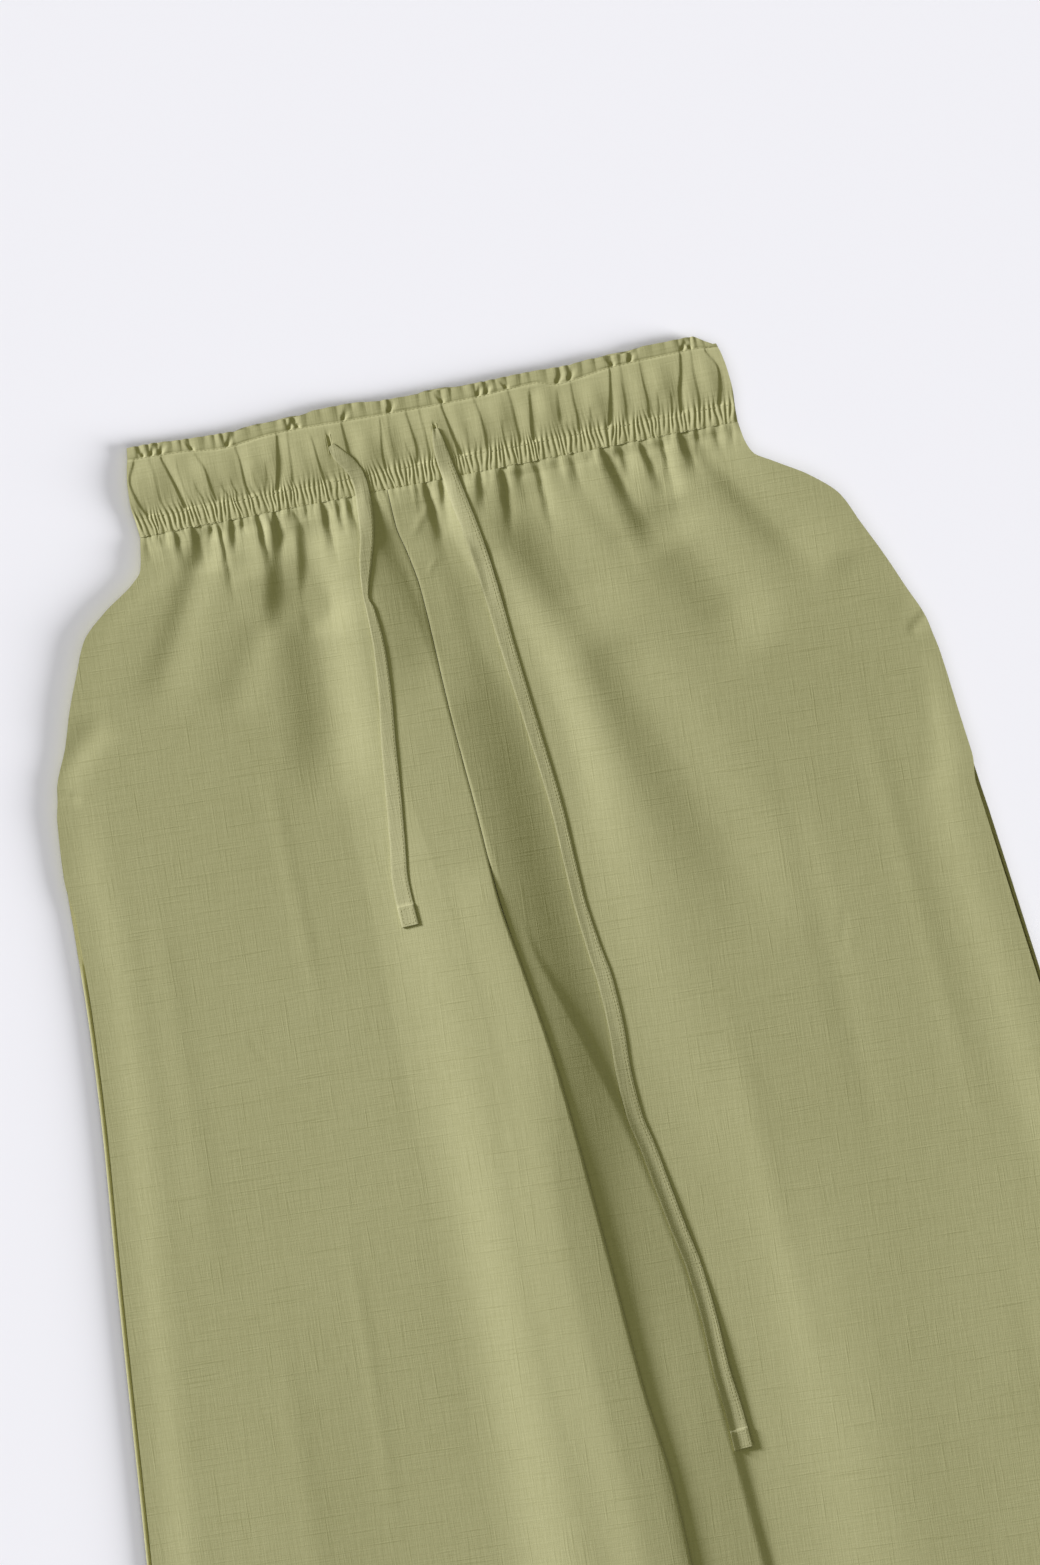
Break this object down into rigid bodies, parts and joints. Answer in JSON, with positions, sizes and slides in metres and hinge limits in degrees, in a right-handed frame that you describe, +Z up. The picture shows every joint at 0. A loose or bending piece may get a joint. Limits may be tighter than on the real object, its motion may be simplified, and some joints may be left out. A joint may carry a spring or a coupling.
{
  "type": "wide-leg drawstring trousers laid flat",
  "caption": "Wide-leg trousers in woven cloth, laid flat: gathered elastic waistband with a ruffled top, two free drawstring ends and plain hems.",
  "frame": {"origin": "on the surface the garment lies on, under the middle of the garment's bounding box", "axes": "+X across the garment to the right as seen from above, +Y towards the waist, +Z up from the surface"},
  "size_m": [0.678, 1.0246, 0.02],
  "materials": {
    "cloth_front": "matte slubby plain weave, pale sage green",
    "cloth_back": "matte slubby plain weave, pale sage green",
    "cloth_waist": "matte gathered plain weave, pale sage green",
    "drawstring": "flat stitched tape of the same cloth"
  },
  "bodies": {
    "root": {"front_left_leg": "cloth_front", "front_right_leg": "cloth_front", "back_left_leg": "cloth_back", "back_right_leg": "cloth_back", "waistband_ruffle_front": "cloth_waist", "waistband_casing_front": "cloth_waist", "waistband_shirring_front": "cloth_waist", "waistband_back": "cloth_waist", "drawstring_left": "drawstring", "drawstring_right": "drawstring"}
  },
  "joints": []
}
